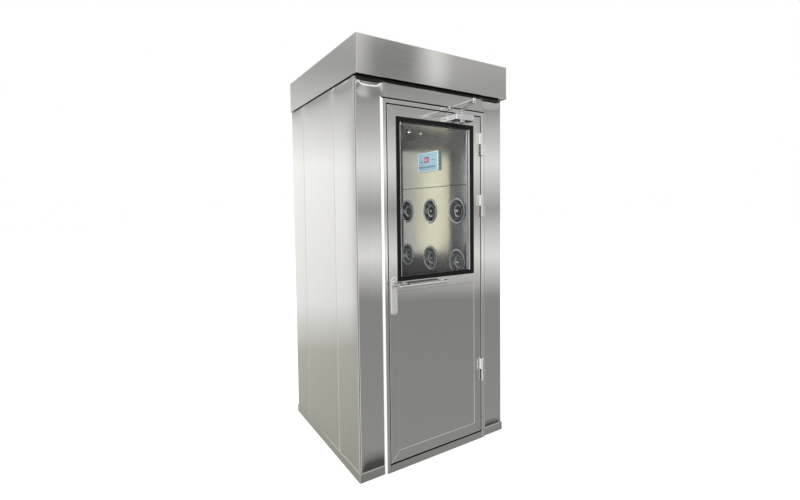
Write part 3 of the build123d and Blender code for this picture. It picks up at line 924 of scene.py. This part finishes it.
@dataclass
class ControlPanel(SubAssembly):
    """Film keypad on the right wall: a white rim, a pale film, a red window and a row of dots.

    Attributes:
        face_x: front face of the panel, in millimetres.
        centre: middle of the panel along the wall and in height.
        size: length and height.
        dots: number of dots.
    """

    face_x: float = 288.0
    centre: tuple[float, float] = (5.0, 1724.0)
    size: tuple[float, float] = (244.0, 130.0)
    dots: int = 10

    def on_face(self, out: float, along: float, up: float) -> Vector:
        """A point on the panel's face, from distances in millimetres."""
        return place_mm(self.face_x - out, self.centre[0] + along, self.centre[1] + up)

    def build(self, finishes: Finishes) -> None:
        """Make the rim, the window and the dots.

        Args:
            finishes: the finishes.
        """
        half_long, half_tall = self.size[0] / 2, self.size[1] / 2
        bars = []
        for low, high in (((-half_long, -half_tall), (half_long, -half_tall + 3)),
                          ((-half_long, half_tall - 3), (half_long, half_tall)),
                          ((-half_long, -half_tall), (-half_long + 9, half_tall)),
                          ((half_long - 3, -half_tall), (half_long, half_tall))):
            bars.append(self.block(self.on_face(1.5, *low), self.on_face(-0.5, *high), 0.6))
        self.finish(self.joined(bars), "keypad_rim", finishes.film_edge, "cabinet", "control_face")
        window = self.block(self.on_face(0.8, -6, -3), self.on_face(-0.4, 44, 35), 0.4)
        self.finish(window, "keypad_display", finishes.display, "cabinet", "control_face")
        digits = [self.block(self.on_face(1.3, along, 5), self.on_face(0.5, along + 9, 27), 0.3)
                  for along in (6, 22)]
        self.finish(self.joined(digits), "keypad_digit_bars", finishes.digit, "cabinet",
                    "control_face")
        away = Vector((-1.0, 0.0, 0.0))
        keys = []
        for number in range(self.dots):
            along = 106 - number * 180 / (self.dots - 1)
            keys.append(self.turned([(6.4, -0.3), (6.4, 0.6), (5.6, 1.1), (0.5, 1.2)],
                                    self.on_face(0, along, -34), away, 24))
        for low, high in (((64, 2), (92, 6)), ((-78, 8), (-44, 12))):
            keys.append(self.block(self.on_face(0.8, *low), self.on_face(-0.4, *high), 0.3))
        self.finish(self.joined(keys), "keypad_dots", finishes.key, "cabinet", "control_face")


@dataclass
class CeilingLamp(SubAssembly):
    """The small downlight: a steel ring and its opal lens.

    Attributes:
        centre: place of the lamp, in millimetres.
        ceiling_z: underside of the ceiling.
        radius: radius of the lamp's cover.
    """

    centre: tuple[float, float] = (250.0, 190.0)
    ceiling_z: float = 1960.0
    radius: float = 22.0

    def build(self, finishes: Finishes) -> None:
        """Make the ring and the lens.

        Args:
            finishes: the finishes.
        """
        r = self.radius
        spot = place_mm(*self.centre, self.ceiling_z)
        ring = self.turned([(r + 6, 0.0), (r + 6, 2.0), (r + 4, 9.0), (r - 4, 11.0), (8.4, 11.2),
                            (8.0, 10.4), (0.5, 10.2)], spot, -UP, 64)
        self.finish(ring, "lamp_ring", finishes.for_node("lining", "ceiling"), "cabinet",
                    "nozzle_chrome")
        lens = self.turned([(7.8, 10.3), (7.6, 11.4), (5.6, 12.4), (3.0, 13.0), (0.5, 13.1)],
                           spot, -UP, 48)
        self.finish(lens, "lamp_lens", finishes.lamp, "cabinet", "lamp_cover", ("downlight",))


@dataclass
class GlazingSeal(SubAssembly):
    """Black strip in the web of each spacing channel as painted shade, and a small clip at its
    top.

    Attributes:
        web_x: face of the channel's web, in millimetres.
        depth: front and rear end of the painted shade strip.
        low: lower end.
        high: upper end.
        clip_y: front face of the clip.
    """

    web_x: float = 235.5
    depth: tuple[float, float] = (-495.3, -484.7)
    low: float = 1042.5
    high: float = 1859.0
    clip_y: float = -501.4

    def build(self, finishes: Finishes) -> None:
        """Make the painted shade strips and clips of the front window and their twins at the rear.

        Args:
            finishes: the finishes.
        """
        shade_strips, clips = [], []
        for sign in (-1, 1):
            # The black strip in the channel's web is painted shade.
            near, far = sorted((sign * (self.web_x - 1.2), sign * (self.web_x + 0.2)))
            shade_strips.append(self.block(place_mm(near, self.depth[0], self.low),
                                    place_mm(far, self.depth[1], self.high), 0.3))
            near, far = sorted((sign * (self.web_x - 13.0), sign * (self.web_x - 2.0)))
            clips.append(self.block(place_mm(near, self.clip_y, self.high - 16),
                                    place_mm(far, self.clip_y + 9.0, self.high - 3), 1.0, 3))
        self.at_both_doors(self.joined(shade_strips), "window_channel_painted_shade", finishes.shade_and_joint_black, "front_door",
                           "seal_rubber")
        self.at_both_doors(self.joined(clips), "window_channel_clips", finishes.chrome,
                           "front_door", "polished_steel")


@dataclass
class WallJoints(SubAssembly):
    """Dark sealant in the joints of the chamber's side walls.

    Attributes:
        wall_x: inner face of the walls, in millimetres.
        half_length: half the walls' length.
        joints: height and width of each joint.
    """

    wall_x: float = 300.0
    half_length: float = 393.0
    joints: tuple[tuple[float, float], ...] = ((1550.0, 4.0), (1905.5, 2.4))

    def build(self, finishes: Finishes) -> None:
        """Make the sealant beads of both sides.

        Args:
            finishes: the finishes.
        """
        beads = [self.block(place_mm(self.wall_x - 0.5, -self.half_length, z - wide / 2),
                            place_mm(self.wall_x + 1.0, self.half_length, z + wide / 2), 0.3)
                 for z, wide in self.joints]
        right = self.finish(self.joined(beads), "right_wall_sealant", finishes.shade_and_joint_black, "cabinet",
                            "seal_rubber")
        self.finish(self.mirrored(right, 0), "left_wall_sealant", finishes.shade_and_joint_black, "cabinet",
                    "seal_rubber")


@dataclass
class Studio:
    """Pale floor, soft lamps, a toned surround and the camera.

    Attributes:
        camera_place: where the camera stands, in metres.
        yaw: heading from +Y towards +X, in degrees.
        pitch: tilt above the horizon, in degrees.
        roll: turn about the view axis, in degrees.
        lens: focal length in millimetres on a 36 mm sensor.
        shift: sideways and upward shift of the frame, as a share of its width.
        floor_half: half the width of the floor, in metres.
        chamber_watts: power of the soft light inside the chamber.
        chamber_lamp: where that light is, in metres.
    """

    camera_place: tuple[float, float, float] = (-1.4162, -2.5047, 1.3958)
    yaw: float = 34.058
    pitch: float = -2.817
    roll: float = -0.512
    lens: float = 19.755
    shift: tuple[float, float] = (-0.03475, -0.02325)
    floor_half: float = 40.0
    chamber_watts: float = 5.0
    chamber_lamp: tuple[float, float, float] = (-0.05, -0.1, 1.85)

    def build(self) -> None:
        """Make the camera, the floor, the surround and the lamps."""
        self.build_camera()
        self.build_floor()
        self.build_world()
        self.build_lamps()

    def build_camera(self) -> None:
        """Stand the camera where the photograph was taken from."""
        data = bpy.data.cameras.new("camera")
        data.lens = self.lens
        data.sensor_width = 36.0
        data.shift_x, data.shift_y = self.shift
        camera = bpy.data.objects.new("camera", data)
        bpy.context.collection.objects.link(camera)
        yaw, pitch = math.radians(self.yaw), math.radians(self.pitch)
        forward = Vector((math.sin(yaw) * math.cos(pitch), math.cos(yaw) * math.cos(pitch),
                          math.sin(pitch)))
        right = Vector((math.cos(yaw), -math.sin(yaw), 0.0))
        up = right.cross(forward)
        turn = math.radians(self.roll)
        tilted_right = right * math.cos(turn) + up * math.sin(turn)
        tilted_up = up * math.cos(turn) - right * math.sin(turn)
        axes = Matrix((tilted_right, tilted_up, -forward)).transposed()
        camera.matrix_world = Matrix.Translation(self.camera_place) @ axes.to_4x4()
        bpy.context.scene.camera = camera

    def build_floor(self) -> None:
        """Lay a plain pale floor that the camera sees as white, with the object's shadow."""
        bpy.ops.object.select_all(action="DESELECT")
        bpy.ops.mesh.primitive_plane_add(size=2 * self.floor_half)
        floor = bpy.context.object
        floor.name = "studio_floor"
        floor.visible_glossy = False
        material = bpy.data.materials.new("pale_floor")
        material.use_nodes = True
        tree = material.node_tree
        lift = add_node(tree, "ShaderNodeMath", {1: 0.5}, {0: seen_directly(tree)},
                        operation="MULTIPLY")
        wire(tree, tree.nodes["Principled BSDF"],
             {"Base Color": grey(0.62), "Roughness": 0.9, "Emission Color": grey(1.0)},
             {"Emission Strength": lift})
        floor.data.materials.append(material)

    def build_world(self) -> None:
        """Surround the object with a soft hall: white to the eye, toned where metal mirrors it."""
        world = bpy.data.worlds.new("soft_hall")
        bpy.context.scene.world = world
        world.use_nodes = True
        tree = world.node_tree
        look = add_node(tree, "ShaderNodeTexCoord").outputs["Generated"]
        parts = add_node(tree, "ShaderNodeSeparateXYZ", links={0: look})
        height = add_node(tree, "ShaderNodeMapRange", {"From Min": -1.0, "From Max": 1.0},
                          {"Value": parts.outputs["Z"]})
        heading = add_node(tree, "ShaderNodeMath",
                           links={0: parts.outputs["X"], 1: parts.outputs["Y"]},
                           operation="ARCTAN2").outputs[0]
        walls = self.hall_walls(tree, parts.outputs["Y"], height, heading)
        crown = add_node(tree, "ShaderNodeValToRGB", links={0: height}, stops=[
            (0.0, 0.0), (0.689, 0.0), (0.693, 1.0), (0.699, 1.0),
            (0.703, 0.0), (0.72, 0.0), (0.76, 0.35), (1.0, 0.35)])
        topped = add_node(tree, "ShaderNodeMixRGB", {2: grey(1.8)},
                          {0: crown, 1: walls})
        lit = self.upright_strips(tree, heading, topped.outputs[0])
        mix = add_node(tree, "ShaderNodeMixRGB", {2: grey(1.0)}, {0: seen_directly(tree), 1: lit})
        wire(tree, tree.nodes["Background"], {}, {"Color": mix})

    def hall_walls(self, tree: Tree, depth: Socket,
                   height: Socket,
                   heading: Socket) -> Socket:
        """Tone the hall in broad bands.

        Args:
            tree: the world's node tree.
            depth: how far a direction points along +Y.
            height: how high it points, from 0 straight down to 1 straight up.
            heading: where it points round the object, in radians from +Y towards +X.

        Returns:
            The colour of the hall in every direction.
        """
        # In front: dark floor, dim lower wall, two rows of lit windows, sky.
        ahead = add_node(tree, "ShaderNodeValToRGB", links={0: height}, stops=[
            (0.0, 0.05), (0.2, 0.1), (0.25, 0.4), (0.4, 0.35),
            (0.45, 1.1), (0.5, 0.5), (0.55, 1.1), (0.6, 0.6),
            (0.65, 0.3), (1.0, 1.0)])
        # Beside and behind: a brighter wall, warm near the floor.
        beside = add_node(tree, "ShaderNodeValToRGB", links={0: height}, stops=[
            (0.0, 0.05), (0.2, (0.4, 0.4, 0.35, 1.0)), (0.35, (0.6, 0.6, 0.55, 1.0)),
            (0.4, 1.1), (0.55, 1.3), (0.65, 0.5), (1.0, 1.0)])
        # Each sweep grows from 0 to 1 between two headings, in degrees.
        over, past, inward, beyond = (
            add_node(tree, "ShaderNodeMapRange",
                     {"From Min": math.radians(start), "From Max": math.radians(end)},
                     {"Value": heading}).outputs[0]
            for start, end in ((180, 130), (-50, -25), (-26, -29), (-60, -50)))
        # One lit strip between darker fields, for the front of the hood.
        overhead = add_node(tree, "ShaderNodeValToRGB", links={0: over}, stops=[
            (0.0, 0.7), (0.5, 0.8), (0.55, 0.3), (0.65, 0.3),
            (0.7, 1.2), (0.75, 0.6), (1.0, 0.6)])
        # One warm lit strip, which the chamber's wall mirrors.
        window_view = add_node(tree, "ShaderNodeValToRGB", links={0: past}, stops=[
            (0.0, 0.3), (0.5, 0.3), (0.55, (1.5, 1.35, 1.0, 1.0)),
            (0.65, (1.5, 1.35, 1.0, 1.0)), (0.7, 0.5), (1.0, 0.5)])
        shown = add_node(tree, "ShaderNodeMath", links={0: inward, 1: beyond},
                         operation="MULTIPLY")
        high = add_node(tree, "ShaderNodeMapRange", {"From Min": 0.630, "From Max": 0.638},
                        {"Value": height})
        front = add_node(tree, "ShaderNodeMixRGB",
                         links={0: high, 1: ahead, 2: overhead})
        rear = add_node(tree, "ShaderNodeMixRGB",
                        links={0: shown, 1: beside,
                               2: window_view})
        side = add_node(tree, "ShaderNodeMapRange", {"From Min": -0.35, "From Max": 0.15},
                        {"Value": depth})
        return add_node(tree, "ShaderNodeMixRGB",
                        links={0: side, 1: front,
                               2: rear}).outputs[0]

    def upright_strips(self, tree: Tree, heading: Socket,
                       lit: Socket) -> Socket:
        """Stand narrow bright strips to the left and right, which bends and edges catch.

        Args:
            tree: the world's node tree.
            heading: where a direction points round the object, in radians.
            lit: the colour without the strips.

        Returns:
            The colour with them.
        """
        for start, full, last, end, far, stops in (
                (-42, -54, -160, -172, -180, [
                    (0.0, 0.55), (0.22, 0.6), (0.245, 2.2), (0.35, 2.2),
                    (0.375, 0.7), (0.52, 0.6), (0.54, 2.0), (0.61, 2.0),
                    (0.635, 0.65), (0.85, 0.8), (1.0, 0.9)]),
                (122, 112, 60, 50, 50, [
                    (0.0, 0.6), (0.45, 0.65), (0.5, 1.8), (0.6, 1.8),
                    (0.65, 0.6), (1.0, 0.7)])):
            rise, fall, along = (
                add_node(tree, "ShaderNodeMapRange",
                         {"From Min": math.radians(first), "From Max": math.radians(second)},
                         {"Value": heading}).outputs[0]
                for first, second in ((start, full), (end, last), (far, start)))
            sector = add_node(tree, "ShaderNodeMath", links={0: rise, 1: fall},
                              operation="MULTIPLY")
            strips = add_node(tree, "ShaderNodeValToRGB", links={0: along}, stops=stops)
            mixed = add_node(tree, "ShaderNodeMixRGB", {0: 0.35}, {1: strips, 2: lit})
            lit = add_node(tree, "ShaderNodeMixRGB",
                           links={0: sector, 1: lit, 2: mixed}).outputs[0]
        return lit

    def build_lamps(self) -> None:
        """Hang two large soft lamps, and a weak one inside the chamber."""
        for name, place, aim, size, power in (
                ("lamp_left", (-3.4, 1.0, 3.6), (0.0, 0.0, 1.0), 2.4, 50.0),
                ("lamp_front", (-1.5, -2.5, 5.5), (0.0, 0.0, 1.0), 4.0, 100.0)):
            data = bpy.data.lights.new(name, "AREA")
            data.size = size
            data.energy = power
            lamp = bpy.data.objects.new(name, data)
            lamp.location = place
            view = Vector(aim) - Vector(place)
            lamp.rotation_euler = view.to_track_quat("-Z", "Y").to_euler()
            lamp.visible_glossy = False
            bpy.context.collection.objects.link(lamp)
        glow = bpy.data.lights.new("lamp_chamber", "POINT")
        glow.energy = self.chamber_watts
        glow.shadow_soft_size = 0.08
        inside = bpy.data.objects.new("lamp_chamber", glow)
        inside.location = self.chamber_lamp
        inside.visible_glossy = False
        bpy.context.collection.objects.link(inside)


def main() -> None:
    """Dress the frame, add the fitted pieces and set up the studio."""
    logging.basicConfig(level=logging.INFO, format="%(message)s")
    bpy.context.scene.view_settings.view_transform = "Standard"
    bpy.ops.object.select_all(action="DESELECT")
    finishes = Finishes()
    dress_nodes(finishes)
    for assembly in (AirNozzles(), HingeFittings(), LockFittings(), CloserFittings(),
                     ControlPanel(), CeilingLamp(), GlazingSeal(), WallJoints()):
        log.info("building %s", type(assembly).__name__)
        assembly.build(finishes)
    Studio().build()


if __name__ == "__main__":
    main()
